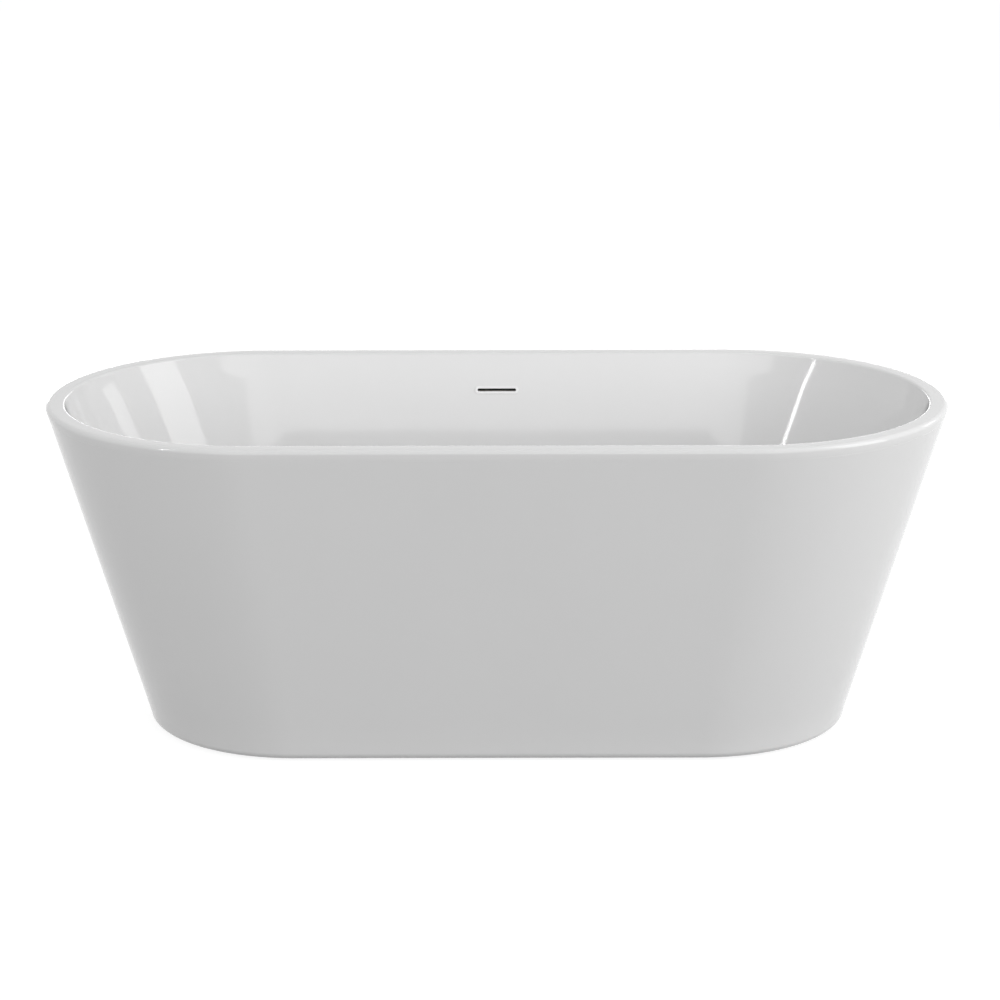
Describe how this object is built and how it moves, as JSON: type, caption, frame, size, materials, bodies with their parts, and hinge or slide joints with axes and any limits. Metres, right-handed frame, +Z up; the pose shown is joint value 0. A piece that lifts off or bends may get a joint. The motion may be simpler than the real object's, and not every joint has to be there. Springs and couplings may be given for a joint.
{
  "type": "freestanding bathtub",
  "caption": "Freestanding double-walled bathtub with a narrow flat rim, slanted oval skirt, slot overflow, click plug and levelling feet.",
  "frame": {"origin": "on the floor under the middle of the tub", "axes": "+X along the tub, +Y towards the wall with the overflow, +Z up"},
  "size_m": [1.5996, 0.75, 0.59],
  "materials": {
    "acrylic": "cast acrylic sheet, glossy white",
    "trim_white": "moulded white plastic, glossy",
    "glass_fibre": "sprayed glass-fibre and resin, rough",
    "plywood": "sawn plywood",
    "frame_steel": "grey powder coat",
    "bracket_steel": "galvanised sheet",
    "zinc_steel": "zinc plated",
    "black_plastic": "moulded black polythene",
    "chrome": "polished chrome plate",
    "brass": "turned brass",
    "rubber": "moulded rubber",
    "waste_plastic": "moulded white polypropylene",
    "hose_plastic": "grey corrugated polythene",
    "pad_plastic": "moulded black nylon"
  },
  "bodies": {
    "root": {"basin_shell": "acrylic", "skirt_shell": "acrylic", "overflow_trim": "trim_white", "basin_laminate": "glass_fibre", "skirt_laminate": "glass_fibre", "rim_bond_strip": "glass_fibre", "base_board": "plywood", "frame_rail_front": "frame_steel", "frame_rail_rear": "frame_steel", "frame_cross_end_left": "frame_steel", "frame_cross_end_right": "frame_steel", "frame_cross_mid_left": "frame_steel", "frame_cross_mid_right": "frame_steel", "skirt_brackets_side": "bracket_steel", "skirt_brackets_end": "bracket_steel", "frame_end_caps": "black_plastic", "frame_screws": "zinc_steel", "foot_weld_nuts": "zinc_steel", "foot_lock_nuts": "zinc_steel", "skirt_bracket_bolts": "zinc_steel", "skirt_flange_screws": "zinc_steel", "overflow_screws": "zinc_steel", "hose_clip_top": "zinc_steel", "hose_clip_bottom": "zinc_steel", "drain_flange": "chrome", "drain_gasket_top": "rubber", "drain_gasket_bottom": "rubber", "drain_slip_washer": "rubber", "overflow_gasket": "rubber", "drain_tee": "waste_plastic", "drain_tailpiece": "waste_plastic", "drain_slip_nut": "waste_plastic", "overflow_body": "waste_plastic", "click_cartridge": "brass", "overflow_hose": "hose_plastic"},
    "plug": {"plug_cap": "chrome", "plug_seal": "rubber", "plug_stem": "brass"},
    "pad_front_left": {"foot_pad_front_left": "pad_plastic"},
    "stem_front_left": {"foot_stem_front_left": "zinc_steel"},
    "pad_front_right": {"foot_pad_front_right": "pad_plastic"},
    "stem_front_right": {"foot_stem_front_right": "zinc_steel"},
    "pad_rear_left": {"foot_pad_rear_left": "pad_plastic"},
    "stem_rear_left": {"foot_stem_rear_left": "zinc_steel"},
    "pad_rear_right": {"foot_pad_rear_right": "pad_plastic"},
    "stem_rear_right": {"foot_stem_rear_right": "zinc_steel"}
  },
  "joints": [
    {"name": "plug_lift", "type": "slide", "parent": "root", "child": "plug", "axis": [0, 0, 1], "range_m": [0, 0.009]},
    {"name": "foot_slide_front_left", "type": "slide", "parent": "root", "child": "pad_front_left", "axis": [0, 0, -1], "range_m": [0, 0.02]},
    {"name": "foot_turn_front_left", "type": "hinge", "parent": "pad_front_left", "child": "stem_front_left", "pos_m": [-0.33671, -0.14524, 0], "axis": [0, 0, -1], "range_deg": [0, 4116]},
    {"name": "foot_slide_front_right", "type": "slide", "parent": "root", "child": "pad_front_right", "axis": [0, 0, -1], "range_m": [0, 0.02]},
    {"name": "foot_turn_front_right", "type": "hinge", "parent": "pad_front_right", "child": "stem_front_right", "pos_m": [0.33671, -0.14524, 0], "axis": [0, 0, -1], "range_deg": [0, 4116]},
    {"name": "foot_slide_rear_left", "type": "slide", "parent": "root", "child": "pad_rear_left", "axis": [0, 0, -1], "range_m": [0, 0.02]},
    {"name": "foot_turn_rear_left", "type": "hinge", "parent": "pad_rear_left", "child": "stem_rear_left", "pos_m": [-0.33671, 0.14524, 0], "axis": [0, 0, -1], "range_deg": [0, 4116]},
    {"name": "foot_slide_rear_right", "type": "slide", "parent": "root", "child": "pad_rear_right", "axis": [0, 0, -1], "range_m": [0, 0.02]},
    {"name": "foot_turn_rear_right", "type": "hinge", "parent": "pad_rear_right", "child": "stem_rear_right", "pos_m": [0.33671, 0.14524, 0], "axis": [0, 0, -1], "range_deg": [0, 4116]}
  ],
  "couplings": [
    {"joint": "foot_turn_front_left", "follows": "foot_slide_front_left", "rad_per_m": 3590.4},
    {"joint": "foot_turn_front_right", "follows": "foot_slide_front_right", "rad_per_m": 3590.4},
    {"joint": "foot_turn_rear_left", "follows": "foot_slide_rear_left", "rad_per_m": 3590.4},
    {"joint": "foot_turn_rear_right", "follows": "foot_slide_rear_right", "rad_per_m": 3590.4}
  ]
}
